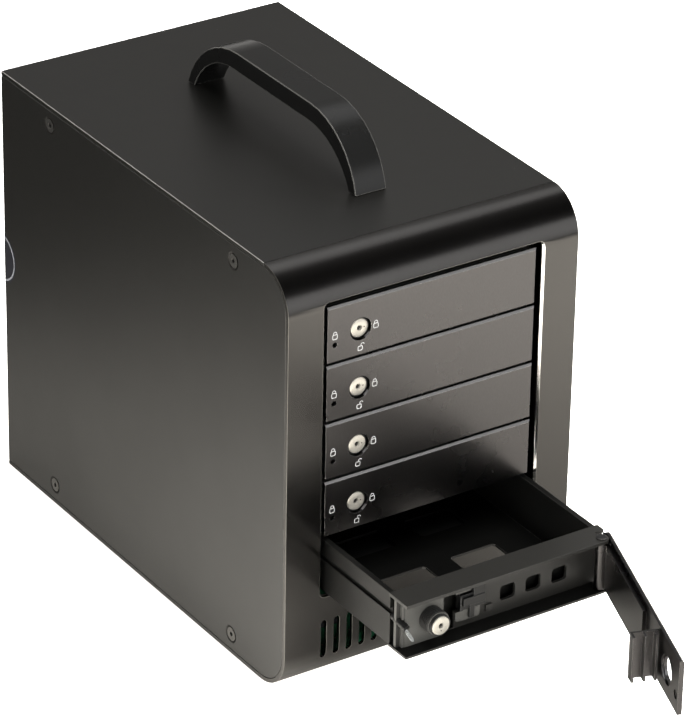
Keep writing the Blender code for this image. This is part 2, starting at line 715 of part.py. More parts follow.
# ---------------------------------------------------------------- assembly
def build_case(case):
    add("front_bezel", front_bezel(), "bezel_black", case)
    add("top_cover", top_cover(), "case_black", case)
    add("base_plate", base_plate(), "case_black", case)
    add("left_side_panel", side_panel(-1), "case_black", case)
    add("right_side_panel", side_panel(1), "case_black", case)
    add("rear_panel", rear_panel(), "case_black", case)
    add("handle", handle(), "handle_black", case)
    screw = side_screw()
    for label, side in (("left", -1), ("right", 1)):
        for where, y in (("front", SCREW_Y[0]), ("rear", SCREW_Y[1])):
            for level, z in (("lower", SCREW_EDGE), ("upper", CASE_HEIGHT - SCREW_EDGE)):
                turn = (0, 0, 0) if side == -1 else (0, 0, 180)
                name = f"side_screw_{label}_{where}_{level}"
                add(name, screw, "screw_black", case, (side * (HALF - 0.05), y, z), turn)
    rubber = foot()
    for label, x in (("left", -1), ("right", 1)):
        for where, y in (("front", FOOT_INSET + 5), ("rear", CASE_DEPTH - FOOT_INSET - 5)):
            place = (x * (HALF - FOOT_INSET), y, 0)
            add(f"foot_{where}_{label}", rubber, "foot_rubber", case, place)


def build_inside(case):
    add("drive_cage", drive_cage(), "cage_black", case)
    add("cage_top", cage_top(), "cage_black", case)
    add("backplane_board", backplane_board(), "circuit_green", case)
    add("controller_board", controller_board(), "circuit_green", case)
    add("port_jack", port_jack(), "zinc_plate", case)
    add("power_supply", power_supply(), "zinc_plate", case)
    add("fan_housing", fan_housing(), "black_plastic", case)
    middle = (FAN_FRONT + FAN_REAR - 4.0) / 2
    add("fan_rotor", fan_rotor(), "black_plastic", case, (0, middle, FAN_Z))
    add("fan_guard", fan_guard(), "screw_black", case)
    add("power_inlet", power_inlet(), "black_plastic", case)
    place = (ROCKER_X, CASE_DEPTH - 1.5, INLET_Z)
    add("power_rocker", power_rocker(), "black_plastic", case, place, (-ROCKER_TILT, 0, 0))


def build_trays(case):
    carrier = tray_carrier()
    head = tray_head()
    door = tray_door()
    lock = tray_lock()
    latch = tray_latch()
    pin = hinge_pin()
    for bay in range(BAY_COUNT):
        number = bay + 1
        pulled_out = bay == BAY_COUNT - 1
        out = TRAY_EXTENSION if pulled_out else 0.0
        swing = DOOR_OPEN if pulled_out else 0.0
        key = 90.0 if pulled_out else 0.0
        slide = LATCH_TRAVEL if pulled_out else 0.0
        tray = frame(f"tray_{number}_frame", case, (0, FACE_RECESS - out, bay_z(bay)))
        add(f"tray_{number}_carrier", carrier, "tray_black", tray)
        add(f"tray_{number}_head", head, "door_black", tray)
        add(f"tray_{number}_hinge_pin", pin, "pin_steel", tray, (PIN_X, PIN_Y, 0))
        add(f"tray_{number}_door", door, "door_black", tray, (PIN_X, PIN_Y, 0), (0, 0, swing))
        add(f"tray_{number}_lock", lock, "lock_steel", tray, (LOCK_X, 0, LOCK_Z), (0, key, 0))
        place = (LATCH_X + slide, 0, 0)
        add(f"tray_{number}_latch", latch, "black_plastic", tray, place)


def main():
    for thing in list(bpy.data.objects):
        bpy.data.objects.remove(thing)
    case = frame("case_frame", None, (0, CASE_FRONT_Y, FOOT_HEIGHT))
    build_case(case)
    build_inside(case)
    build_trays(case)


main()
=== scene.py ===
"""Looks for the five-bay network storage enclosure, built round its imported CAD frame.

Blender's lengths are in metres; MM turns a length in millimetres into metres. Shapes are drawn in
millimetres. The visible CAD nodes are replaced by refined copies with rounded edges, and the
printed icons, light pipes, lock faces, fan screws, socket contacts and the seal are pieces of
their own.
"""
import json
from math import acos, cos, pi, radians, sin

import bmesh
import bpy
from mathutils import Matrix, Vector

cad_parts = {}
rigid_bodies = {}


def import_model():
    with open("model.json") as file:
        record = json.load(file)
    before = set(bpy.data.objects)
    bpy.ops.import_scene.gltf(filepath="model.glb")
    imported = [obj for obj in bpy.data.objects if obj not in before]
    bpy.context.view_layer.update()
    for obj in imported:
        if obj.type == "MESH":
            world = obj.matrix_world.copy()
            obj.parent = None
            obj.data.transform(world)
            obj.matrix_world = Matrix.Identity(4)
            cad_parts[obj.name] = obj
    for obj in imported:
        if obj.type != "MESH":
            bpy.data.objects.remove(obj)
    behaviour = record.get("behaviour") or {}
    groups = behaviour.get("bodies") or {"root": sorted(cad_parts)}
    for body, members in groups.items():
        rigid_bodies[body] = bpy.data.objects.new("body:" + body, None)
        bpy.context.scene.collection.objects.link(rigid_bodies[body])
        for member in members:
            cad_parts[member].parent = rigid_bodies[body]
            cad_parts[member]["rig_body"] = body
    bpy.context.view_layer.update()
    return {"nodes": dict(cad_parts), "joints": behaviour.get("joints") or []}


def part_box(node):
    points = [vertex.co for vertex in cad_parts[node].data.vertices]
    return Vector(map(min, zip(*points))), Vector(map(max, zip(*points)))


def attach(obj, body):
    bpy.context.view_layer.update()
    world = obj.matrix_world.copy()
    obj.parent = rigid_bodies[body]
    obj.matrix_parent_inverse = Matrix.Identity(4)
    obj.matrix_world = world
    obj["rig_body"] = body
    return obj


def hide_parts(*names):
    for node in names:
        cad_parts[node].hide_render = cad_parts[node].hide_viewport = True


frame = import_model()

MM = 0.001
BAYS = 5
FOOT = 3.0  # the feet hold the case this far off the floor
HARD_EDGE = 38  # degrees; an edge that turns more is rounded off
SCREW_FIT = 0.88  # leaves a gap round the side screws' heads, where the countersink wall shows as a near-black ring of painted shade
COUNTERSINK_REACH = 5.5
FAN_SCREW = 52.5  # from the fan's middle, both ways
JACK_X = 30.75
INLET_X = -51.5
INLET_Z = 28.0
INLET_PINS = ((-7, -2), (7, -2), (0, 2))  # from the inlet's middle

# places on a tray, from the middle of its closed face
PIN_PLACE = Vector((52.25, 5.9, 0.0))
LOCK_PLACE = Vector((-39.75, 0.0, -1.1))

# printed marks: from just inside the surface to just outside it
PRINT_LOW = -0.03
PRINT_HIGH = 0.02
SEAL_RADIUS = 14.0
SEAL_PAST_EDGE = 3.0  # its middle, round on the rear face
SEAL_HEIGHT = 119.5
SEAL_FOIL = (-0.02, 0.01)
SEAL_RIM = (2.1, 1.2)  # the ring's inner and outer edge, in from the seal's edge

# studio
FLOOR_SIZE = 12.0
FLOOR_Z = -0.0003
GLOSS_FLOOR_Z = -0.0001

# camera: where it stands and how it is turned, in degrees
CAMERA_PLACE = (-1.07044, -1.57806, 1.16911)
CAMERA_HEADING = -33.6656
CAMERA_TILT = 28.4109
CAMERA_ROLL = 1.0561
CAMERA_LENS = 232.77
CAMERA_SENSOR = 36.0

JOINTS = {joint["name"]: joint for joint in frame["joints"]}
PANEL_LOW, PANEL_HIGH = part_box("left_side_panel")
REAR_FACE = PANEL_HIGH.y
SIDE_FACE = PANEL_LOW.x


# ---------------------------------------------------------------- materials
def node(made, kind, inputs=None, **settings):
    """A shader node; inputs are values or the sockets that feed them."""
    new = made.node_tree.nodes.new(kind)
    for key, value in settings.items():
        setattr(new, key, value)
    for key, value in (inputs or {}).items():
        if isinstance(value, bpy.types.NodeSocket):
            made.node_tree.links.new(value, new.inputs[key])
        else:
            new.inputs[key].default_value = value
    return new


def ranged(made, value, low, high, start=0.0, end=1.0):
    """A socket whose value runs from low to high while the given one runs from start to end."""
    inputs = {"Value": value, "From Min": start, "From Max": end, "To Min": low, "To Max": high}
    return node(made, "ShaderNodeMapRange", inputs).outputs["Result"]


def noise(made, place, size, detail=3.0, stretch=(1, 1, 1)):
    """Noise with features about size metres wide, drawn out along an axis by a small stretch."""
    moved = node(made, "ShaderNodeMapping", {"Vector": place, "Scale": stretch}).outputs["Vector"]
    inputs = {"Vector": moved, "Scale": 1.0 / size, "Detail": detail, "Roughness": 0.6}
    return node(made, "ShaderNodeTexNoise", inputs).outputs["Fac"]


def mixed(made, factor, first, second):
    """A colour between two; 0, 6 and 7 are the mix node's factor and colour sockets."""
    inputs = {0: factor, 6: first, 7: second}
    return node(made, "ShaderNodeMix", inputs, data_type="RGBA").outputs[2]


def shade(colour, factor):
    """A lighter or darker colour, with its alpha."""
    return (*[min(1.0, channel * factor) for channel in colour], 1.0)


def finish(name, colour, roughness, metallic=0.0, grain=0.5 * MM, depth=0.006 * MM, cloud=0.12,
           spread=0.06, dust=0.0, stretch=(1, 1, 1), specular=0.5, coat=0.0):
    """A solid finish: fine grain in the bump, clouds in colour and roughness, and a little dust."""
    made = bpy.data.materials.new(name)
    made.use_nodes = True
    links = made.node_tree.links
    surface = made.node_tree.nodes["Principled BSDF"]
    place = node(made, "ShaderNodeTexCoord").outputs["Object"]
    broad = noise(made, place, 60 * MM, 4.0)
    fine = noise(made, place, grain, 2.0, stretch)
    tone = mixed(made, broad, shade(colour, 1 - cloud), shade(colour, 1 + cloud))
    tone = mixed(made, ranged(made, fine, 0.0, 1.0, 0.35, 0.65), tone, shade(colour, 1 + 2 * cloud))
    rough = ranged(made, broad, roughness - spread, roughness + spread, 0.3, 0.7)
    if dust:
        cells = node(made, "ShaderNodeTexVoronoi", {"Vector": place, "Scale": 1 / (9 * MM)})
        near = ranged(made, cells.outputs["Distance"], 1.0, 0.0, 0.012, 0.03)
        picked = node(made, "ShaderNodeSeparateColor", {"Color": cells.outputs["Color"]})
        rare = ranged(made, picked.outputs["Red"], 0.0, 1.0, 0.72, 0.74)
        speck = node(made, "ShaderNodeMath", {0: near, 1: rare}, operation="MULTIPLY")
        amount = ranged(made, speck.outputs["Value"], 0.0, dust)
        tone = mixed(made, amount, tone, (0.5, 0.49, 0.46, 1.0))
    links.new(tone, surface.inputs["Base Color"])
    links.new(rough, surface.inputs["Roughness"])
    bump = node(made, "ShaderNodeBump", {"Height": fine, "Strength": 1.0, "Distance": depth})
    links.new(bump.outputs["Normal"], surface.inputs["Normal"])
    surface.inputs["Metallic"].default_value = metallic
    surface.inputs["Specular IOR Level"].default_value = specular
    surface.inputs["Coat Weight"].default_value = coat
    surface.inputs["Coat Roughness"].default_value = 0.2
    return made


def turned_metal(name, colour, roughness, centre):
    """Metal faced on a lathe: rings round an axis along y that passes through centre."""
    made = finish(name, colour, roughness, 0.8, 0.4 * MM, 0.002 * MM, 0.08)
    links = made.node_tree.links
    surface = made.node_tree.nodes["Principled BSDF"]
    place = node(made, "ShaderNodeTexCoord").outputs["Object"]
    offset = {"Vector": place, "Location": [-c for c in centre]}
    moved = node(made, "ShaderNodeMapping", offset).outputs["Vector"]
    rings = node(made, "ShaderNodeTexWave", {"Vector": moved, "Scale": 1 / (2.2 * MM)},
                 wave_type="RINGS", rings_direction="Y")
    bump = node(made, "ShaderNodeBump", {"Height": rings.outputs["Fac"], "Distance": 0.004 * MM})
    links.new(bump.outputs["Normal"], surface.inputs["Normal"])
    return made


def clear_plastic(name):
    made = finish(name, (0.3, 0.31, 0.3), 0.14, 0.0, 0.8 * MM, 0.004 * MM, 0.04)
    surface = made.node_tree.nodes["Principled BSDF"]
    surface.inputs["Transmission Weight"].default_value = 0.75
    surface.inputs["IOR"].default_value = 1.49
    return made


def circuit(name):
    """Green solder mask with lighter tracks and small solder points."""
    made = finish(name, (0.008, 0.075, 0.035), 0.32, 0.0, 0.6 * MM, 0.004 * MM, 0.15, coat=0.3)
    links = made.node_tree.links
    surface = made.node_tree.nodes["Principled BSDF"]
    tone = surface.inputs["Base Color"].links[0].from_socket
    place = node(made, "ShaderNodeTexCoord").outputs["Object"]
    inputs = {"Vector": place, "Scale": 260.0, "Mortar Size": 0.045, "Brick Width": 1.7}
    tracks = node(made, "ShaderNodeTexBrick", inputs).outputs["Fac"]
    tone = mixed(made, tracks, tone, (0.03, 0.2, 0.09, 1.0))
    cells = node(made, "ShaderNodeTexVoronoi", {"Vector": place, "Scale": 1 / (3.4 * MM)})
    points = ranged(made, cells.outputs["Distance"], 1.0, 0.0, 0.12, 0.16)
    tone = mixed(made, points, tone, (0.5, 0.48, 0.42, 1.0))
    links.new(tone, surface.inputs["Base Color"])
    return made


# The edge finishes are lighter copies of the face finishes, put on the rounded edges: painted
# highlights along the edges.
M = {
    "case": finish("case_paint", (0.0035, 0.0034, 0.0031), 0.36, dust=0.4, depth=0.009 * MM,
                   spread=0.03),
    "case_edge_painted_highlight": finish("case_paint_edge_painted_highlight", (0.05, 0.049, 0.046), 0.3, 0.6),
    "cover_edge_painted_highlight": finish("cover_edge_painted_highlight", (0.2, 0.195, 0.18), 0.28, 0.5),
    "bezel": finish("bezel_anodised", (0.074, 0.072, 0.07), 0.25, 1.0, 0.35 * MM, 0.004 * MM, 0.05,
                    spread=0.03),
    "bezel_edge_painted_highlight": finish("bezel_edge_painted_highlight", (0.2, 0.195, 0.18), 0.28, 0.95),
    "door": finish("door_anodised", (0.088, 0.085, 0.086), 0.28, 1.0, 0.35 * MM, 0.004 * MM, 0.05,
                   spread=0.02, stretch=(1, 1, 0.25)),
    "door_edge_painted_highlight": finish("door_edge_painted_highlight", (0.5, 0.49, 0.48), 0.22, 0.95),
    # a grey non-metal finish for the door's top chamfer in place of its anodised metal: a painted
    # highlight band along each door's top
    "door_chamfer_painted_highlight": finish("door_chamfer_painted_highlight", (0.045, 0.044, 0.044), 0.35, 0.0),
    "tray": finish("tray_black", (0.0022, 0.0022, 0.002), 0.45, depth=0.008 * MM, specular=0.4),
    # a darker, less shiny copy of the tray's black for the carrier's floor and the head's gutter:
    # painted shade
    "matt_painted_shade": finish("matt_black_painted_shade", (0.0015, 0.0015, 0.0014), 0.5, depth=0.008 * MM, specular=0.15),
    "tray_edge_painted_highlight": finish("tray_black_edge_painted_highlight", (0.022, 0.021, 0.02), 0.34, 0.4),
    "head": finish("head_black", (0.0085, 0.0082, 0.0074), 0.36, depth=0.006 * MM),
    "head_edge_painted_highlight": finish("head_black_edge_painted_highlight", (0.04, 0.039, 0.037), 0.32, 0.4),
    "handle": finish("handle_satin", (0.003, 0.003, 0.0029), 0.28, dust=0.3, grain=0.4 * MM,
                     depth=0.003 * MM, spread=0.03, specular=0.33),
    "handle_edge_painted_highlight": finish("handle_edge_painted_highlight", (0.08, 0.078, 0.072), 0.26, 0.6),
    "plastic": finish("black_plastic", (0.004, 0.004, 0.004), 0.36, depth=0.01 * MM),
    "plastic_edge_painted_highlight": finish("black_plastic_edge_painted_highlight", (0.014, 0.014, 0.014), 0.3),
    # a lighter copy of the head's black for the head's faces turned to the front and the left end:
    # painted light
    "pad": finish("head_painted_light", (0.045, 0.044, 0.04), 0.38, 0.2),
    "screw": finish("screw_oxide", (0.08, 0.078, 0.073), 0.3, 0.85, depth=0.012 * MM),
    "screw_edge_painted_highlight": finish("screw_oxide_edge_painted_highlight", (0.16, 0.155, 0.145), 0.28, 0.9),
    "pin": finish("pin_steel", (0.05, 0.05, 0.05), 0.32, 0.9),
    "sheet": finish("inner_sheet", (0.02, 0.02, 0.02), 0.45, 0.6),
    "zinc": finish("zinc_sheet", (0.5, 0.51, 0.52), 0.36, 1.0, 3 * MM, 0.004 * MM, 0.2),
    "rubber": finish("foot_rubber", (0.018, 0.018, 0.017), 0.8, depth=0.02 * MM),
    "nickel": finish("nickel_plate", (0.62, 0.6, 0.55), 0.25, 1.0),
    "gold": finish("gold_contact", (0.75, 0.52, 0.2), 0.25, 1.0),
    "chip": finish("chip_black", (0.014, 0.014, 0.015), 0.5, depth=0.01 * MM),
    # bright metal only on the right chamfer of the bay opening: partly the real bare chamfer, and a
    # painted highlight where it catches the light
    "polished_painted_highlight": finish("polished_edge_painted_highlight", (0.86, 0.85, 0.81), 0.16, 1.0, depth=0.002 * MM),
    "print": finish("printed_grey", (0.26, 0.26, 0.255), 0.55),
    # near-black for the countersink walls and the keyway: painted shade in the holes
    "painted_shade_dark": finish("painted_shade_black", (0.004, 0.0035, 0.003), 0.6),
    "seal": finish("seal_foil", (0.007, 0.0075, 0.011), 0.3, 0.2),
    "seal_ring": finish("seal_print", (0.16, 0.165, 0.175), 0.4, 0.2),
    "clear": clear_plastic("clear_pipe"),
    "circuit": circuit("circuit_green"),
}


# ---------------------------------------------------------------- mesh helpers
def linked(name, mesh, body):
    """A mesh as an object that rides on a body."""
    thing = bpy.data.objects.new(name, mesh)
    bpy.context.scene.collection.objects.link(thing)
    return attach(thing, body)


def meshed(shape, name, *finishes):
    """The bmesh as a mesh with its faces out, smooth, and sharp where it still turns hard."""
    mesh = bpy.data.meshes.new(name)
    shape.to_mesh(mesh)
    shape.free()
    mesh.shade_smooth()
    mesh.set_sharp_from_angle(angle=radians(50))
    for key in finishes:
        mesh.materials.append(M[key])
    return mesh


def evened(thing):
    """Flat faces keep flat shading, and the rounded edges take the bend."""
    step = thing.modifiers.new("flat_faces", "WEIGHTED_NORMAL")
    step.keep_sharp = True
    step.weight = 80
    return thing


def cad_shape(name):
    """A CAD node's solid as a bmesh, with its flat regions joined into whole faces."""
    source = frame["nodes"][name].data
    shape = bmesh.new()
    points = [shape.verts.new(v.co) for v in source.vertices]
    for face in source.polygons:
        shape.faces.new([points[i] for i in face.vertices])
    bmesh.ops.remove_doubles(shape, verts=shape.verts, dist=1e-6)
    bmesh.ops.dissolve_limit(shape, angle_limit=radians(0.6), verts=shape.verts, edges=shape.edges)
    return shape


def hard_edges(shape, angle):
    """The edges that turn more than the angle in degrees."""
    turn = radians(angle)
    return [e for e in shape.edges if e.is_manifold and e.calc_face_angle(0.0) > turn]


def refined(name, round_off, finishes, zones=None, segments=2, angle=HARD_EDGE):
    """A copy of a CAD node with rounded edges that stands for it.

    finishes are the face's and the edge's material; the edge's is mostly a lighter copy of the
    face's,
    a painted highlight along the rounded edges. zones maps a finish to a test of a face's middle:
    some zones are another material, and the others are painted highlight, painted light and painted
    shade."""
    shape = cad_shape(name)
    edges = hard_edges(shape, angle)
    if round_off:
        made = bmesh.ops.bevel(shape, geom=edges, offset=round_off, offset_type="OFFSET",
                               segments=segments, profile=0.5, affect="EDGES", clamp_overlap=True)
        for face in made["faces"]:
            face.material_index = 1
    keys = list(finishes)
    for key, test in (zones or {}).items():
        keys.append(key)
        for face in shape.faces:
            if test(face.calc_center_median(), face.normal):
                face.material_index = len(keys) - 1
    mesh = meshed(shape, name + "_finished", *keys)
    thing = evened(linked(name + "_finished", mesh, frame["nodes"][name]["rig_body"]))
    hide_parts(name)
    return thing


def ring_of(radius, depth, sides):
    """Points on a circle round the y axis."""
    turns = [2 * pi * i / sides for i in range(sides)]
    return [(radius * cos(a), depth, radius * sin(a)) for a in turns]


def lofted(sections, closed=False):
    """A solid through sections of equally many points; closed joins the last to the first."""
    shape = bmesh.new()
    rings = [[shape.verts.new(Vector(p) * MM) for p in section] for section in sections]
    pairs = list(zip(rings, rings[1:]))
    if closed:
        pairs.append((rings[-1], rings[0]))
    count = len(rings[0])
    for low, high in pairs:
        for i in range(count):
            j = (i + 1) % count
            shape.faces.new((low[i], low[j], high[j], high[i]))
    if not closed:
        shape.faces.new(rings[0])
        shape.faces.new(rings[-1])
    bmesh.ops.recalc_face_normals(shape, faces=shape.faces)
    return shape


def turned(profile, sides, closed=False):
    """A solid of revolution round the y axis through (radius, depth) pairs."""
    return lofted([ring_of(radius, depth, sides) for radius, depth in profile], closed)


def joined(shapes):
    """Several shapes as one."""
    whole = bmesh.new()
    for shape in shapes:
        part = bpy.data.meshes.new("part")
        shape.to_mesh(part)
        shape.free()
        whole.from_mesh(part)
        bpy.data.meshes.remove(part)
    return whole


def box_shape(x0, x1, y0, y1, z0, z1):
    low = [(x0, y0, z0), (x1, y0, z0), (x1, y1, z0), (x0, y1, z0)]
    return lofted([low, [(x, y, z1) for x, y, z in low]])


def ribbon(points, width, low, high, closed=False):
    """A printed line of even width in the (x, z) plane, from y = low to y = high."""
    count = len(points)
    sides = []
    for i, here in enumerate(points):
        before = points[i - 1] if closed or i > 0 else here
        after = points[(i + 1) % count] if closed or i < count - 1 else here
        a = Vector((here[0] - before[0], here[1] - before[1]))
        b = Vector((after[0] - here[0], after[1] - here[1]))
        a = a.normalized() if a.length > 0 else b.normalized()
        b = b.normalized() if b.length > 0 else a
        across = Vector((-(a + b).y, (a + b).x)).normalized()
        reach = width / 2 / max(0.4, across.dot(Vector((-a.y, a.x))))
        sides.append((Vector(here) + across * reach, Vector(here) - across * reach))
    sections = []
    for left, right in sides:
        sections.append([(left.x, low, left.y), (right.x, low, right.y),
                         (right.x, high, right.y), (left.x, high, left.y)])
    return lofted(sections, closed)


def bowed(cx, cz, radius, start, end, steps=8):
    """Points on an arc in the (x, z) plane, from the start angle to the end angle in degrees."""
    angles = [radians(start + (end - start) * i / steps) for i in range(steps + 1)]
    return [(cx + radius * cos(a), cz + radius * sin(a)) for a in angles]


# ---------------------------------------------------------------- refined CAD nodes
def refine_case():
    def right_of_bays(middle, normal):
        """The chamfer along the right side of the bay opening. Only this side takes the bright
        bare-metal finish: partly the real bare chamfer, and a painted highlight where it catches
        the light.
        """
        faces_left = normal.x < -0.3 and normal.y < -0.3
        return faces_left and 55 * MM < middle.x < 65 * MM and middle.z > 55 * MM

    def long_edge(middle, normal):
        """The folds along the top cover's left and right, which take a lighter finish: a painted
        highlight along the folds.
        """
        return abs(normal.x) > 0.2 and normal.z > 0.2

    screws = [name for name in frame["nodes"] if name.startswith("side_screw")]
    centres = [sum(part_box(name), Vector()) / 2 for name in screws]

    def countersink(middle, normal):
        """The wall of a side screw's hole, which takes a near-black finish: painted shade in the
        hole.
        """
        reach = min((middle - centre).yz.length for centre in centres)
        return abs(normal.x) < 0.99 and reach < COUNTERSINK_REACH * MM

    refined("front_bezel", 0.25 * MM, ("bezel", "bezel_edge_painted_highlight"), {"polished_painted_highlight": right_of_bays})
    refined("top_cover", 0.7 * MM, ("case", "case"), {"cover_edge_painted_highlight": long_edge}, segments=3)
    for name in ("base_plate", "rear_panel"):
        refined(name, 0.3 * MM, ("case", "case_edge_painted_highlight"))
    for name in ("left_side_panel", "right_side_panel"):
        refined(name, 0.3 * MM, ("case", "case_edge_painted_highlight"), {"painted_shade_dark": countersink})
    refined("handle", 0.45 * MM, ("handle", "handle_edge_painted_highlight"), segments=3)
    for name, centre in zip(screws, centres):
        narrowed = Matrix.Translation(centre) @ Matrix.Diagonal((1.0, SCREW_FIT, SCREW_FIT, 1.0))
        screw = refined(name, 0.18 * MM, ("screw", "screw_edge_painted_highlight"))
        screw.data.transform(narrowed @ Matrix.Translation(-centre))
    for name in frame["nodes"]:
        if name.startswith("foot"):
            refined(name, 0.4 * MM, ("rubber", "rubber"))
    refined("fan_guard", 0.25 * MM, ("screw", "screw_edge_painted_highlight"), angle=50)
    refined("fan_housing", 0.4 * MM, ("plastic", "plastic_edge_painted_highlight"), angle=60)
    refined("fan_rotor", 0.25 * MM, ("plastic", "plastic_edge_painted_highlight"), angle=60)
    refined("power_rocker", 0.4 * MM, ("plastic", "plastic_edge_painted_highlight"), angle=30)


def refine_power_inlet():
    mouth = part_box("power_inlet")[1].y
    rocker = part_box("power_rocker")[0].x

    def is_pin(middle, normal):
        """The three contact pins."""
        x = middle.x / MM - INLET_X
        z = middle.z / MM - INLET_Z
        deep = mouth - 19.5 * MM < middle.y < mouth - 4.8 * MM
        near = any(abs(x - px) < 1.1 and abs(z - pz) < 2.1 for px, pz in INLET_PINS)
        return deep and middle.x < rocker - 2 * MM and near

    refined("power_inlet", 0.3 * MM, ("plastic", "plastic_edge_painted_highlight"), {"nickel": is_pin})


def refine_boards():
    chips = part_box("controller_board")[0].z + 1.7 * MM
    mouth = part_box("port_jack")[1].y
    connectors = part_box("backplane_board")[1].y - 1.7 * MM

    def is_chip(middle, normal):
        return middle.z > chips

    def is_inside(middle, normal):
        """The walls of the sockets."""
        return middle.y < mouth - 3 * MM and abs(middle.x - JACK_X * MM) < 7 * MM

    def is_connector(middle, normal):
        return middle.y < connectors

    refined("controller_board", 0, ("circuit", "circuit"), {"chip": is_chip})
    refined("port_jack", 0.25 * MM, ("nickel", "nickel"), {"chip": is_inside})
    refined("backplane_board", 0, ("circuit", "circuit"), {"chip": is_connector})


def repaint_hidden():
    """CAD nodes that stay as they are, and only take a finish."""
    for name, key in (("drive_cage", "sheet"), ("cage_top", "sheet"), ("power_supply", "zinc")):
        for place in frame["nodes"][name].material_slots:
            place.material = M[key]


def refine_trays():
    def is_chamfer(middle, normal):
        """The chamfer along the top of a door, which takes a grey non-metal finish in place of the
        door's anodised metal: a painted highlight band along the door's top.
        """
        return 0.5 < normal.z < 0.9

    def is_floor(middle, normal):
        """The inside of a carrier's floor, which takes a darker, less shiny copy of the tray's
        black: painted shade.
        """
        return normal.z > 0.9 and abs(middle.x) < 50 * MM

    for bay in range(BAYS):
        tray = f"tray_{bay + 1}"
        refined(tray + "_carrier", 0.22 * MM, ("tray", "tray_edge_painted_highlight"), {"matt_painted_shade": is_floor})
        refined(tray + "_door", 0.2 * MM, ("door", "door_edge_painted_highlight"), {"door_chamfer_painted_highlight": is_chamfer})
        refined(tray + "_hinge_pin", 0.2 * MM, ("pin", "screw_edge_painted_highlight"))
        refined(tray + "_latch", 0.25 * MM, ("plastic", "plastic_edge_painted_highlight"))
        refine_head(bay)


# ---------------------------------------------------------------- places on the trays
def tray_place(bay):
    """The tray's place: on its face's plane, at the middle of its bay."""
    pin = Vector(JOINTS[f"tray_{bay + 1}_door_swing"]["pos_m"])
    return Matrix.Translation(pin - PIN_PLACE * MM)


def door_place(bay):
    """The same place on the door, which may stand open."""
    joint = JOINTS[f"tray_{bay + 1}_door_swing"]
    pin = Matrix.Translation(joint["pos_m"])
    swing = Matrix.Rotation(radians(-joint["range_deg"][0]), 4, "Z")
    return pin @ swing @ Matrix.Translation(-PIN_PLACE * MM)


def key_turn(bay):
    """How far the lock is turned at rest."""
    return radians(-JOINTS[f"tray_{bay + 1}_lock_turn"]["range_deg"][0])


def placed(shape, where, name, body, slot, *finishes):
    """A shape drawn from the given place as a piece that rides on a body."""
    bmesh.ops.transform(shape, matrix=where, verts=shape.verts)
    thing = linked(name, meshed(shape, name, *finishes), body)
    return thing


def refine_head(bay):
    name = f"tray_{bay + 1}_head"
    origin = tray_place(bay).translation

    def is_painted_light_face(middle, normal):
        """The front faces of the latch's pad and the lock's block, and the left faces of the plate
        at the left end: they take a lighter copy of the head's black, painted light where the light
        falls on them.
        """
        x = (middle.x - origin.x) / MM
        y = (middle.y - origin.y) / MM
        pad = -25.2 < x < -11.3 and 11.1 < y < 11.9
        block = x < -28 and y < 10.8
        return (pad or block) and normal.y < -0.5 or normal.x < -0.5 and x < -54.5 and y > 10

    def is_gutter(middle, normal):
        """The top of the lower flange, which takes the darker, less shiny black: painted shade in
        the gutter.
        """
        return normal.z > 0.9 and middle.z < origin.z - 8 * MM

    refined(name, 0.2 * MM, ("head", "head_edge_painted_highlight"), {"pad": is_painted_light_face, "matt_painted_shade": is_gutter})


def lock_faces():
    """The turned lock plug with its keyway and the cam behind."""
    for bay in range(BAYS):
        tray = f"tray_{bay + 1}"
        where = tray_place(bay) @ Matrix.Translation(LOCK_PLACE * MM)
        where = where @ Matrix.Rotation(key_turn(bay), 4, "Y")
        plug = turned([(1.2, 2.6), (1.2, 1.35), (1.45, 1.05), (4.35, 1.05), (4.6, 1.25),
                       (4.68, 1.6), (4.68, 14.9)], 48)
        cam = box_shape(-7.0, 2.0, 14.95, 15.6, -2.2, 2.2)
        M[tray] = turned_metal(tray + "_lock_metal", (0.44, 0.42, 0.37), 0.36, where.translation)
        thing = placed(joined([plug, cam]), where, tray + "_lock_plug", tray + "_lock",
                       "lock_steel", tray)
        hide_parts(tray + "_lock")
        # the keyway's core and notch and the small dot beside it take the near-black: painted shade
        # in the keyway
        core = turned([(0.8, 2.6), (0.8, 1.8), (0.55, 1.6)], 16)
        notch = box_shape(-0.25, 0.25, 1.65, 2.6, -1.12, -0.5)
        dot = turned([(0.34, 1.4), (0.34, 1.03), (0.28, 1.01)], 12)
        bmesh.ops.translate(dot, vec=Vector((2.5, 0, 0.0)) * MM, verts=dot.verts)
        placed(joined([core, notch, dot]), where, tray + "_lock_keyway", tray + "_lock",
               "black_plastic", "painted_shade_dark")


def lock_sleeves():
    """The threaded collar round each plug and the ribs of the sleeve behind it."""
    collar = [(4.8, 3.1), (4.8, 1.45), (5.2, 1.45), (5.35, 1.6), (5.35, 2.0), (5.1, 2.15),
              (5.1, 2.35), (5.35, 2.5), (5.35, 3.1)]
    ribs = [turned(collar, 48, closed=True)]
    for i in range(6):
        y = 3.7 + 1.15 * i
        ribs.append(turned([(5.85, y), (6.15, y + 0.15), (6.15, y + 0.5), (5.85, y + 0.65)], 48))
    whole = meshed(joined(ribs), "lock_sleeve_ribs", "plastic")
    for bay in range(BAYS):
        tray = f"tray_{bay + 1}"
        mesh = whole.copy()
        mesh.transform(tray_place(bay) @ Matrix.Translation(LOCK_PLACE * MM))
        linked(tray + "_lock_ribs", mesh, tray)


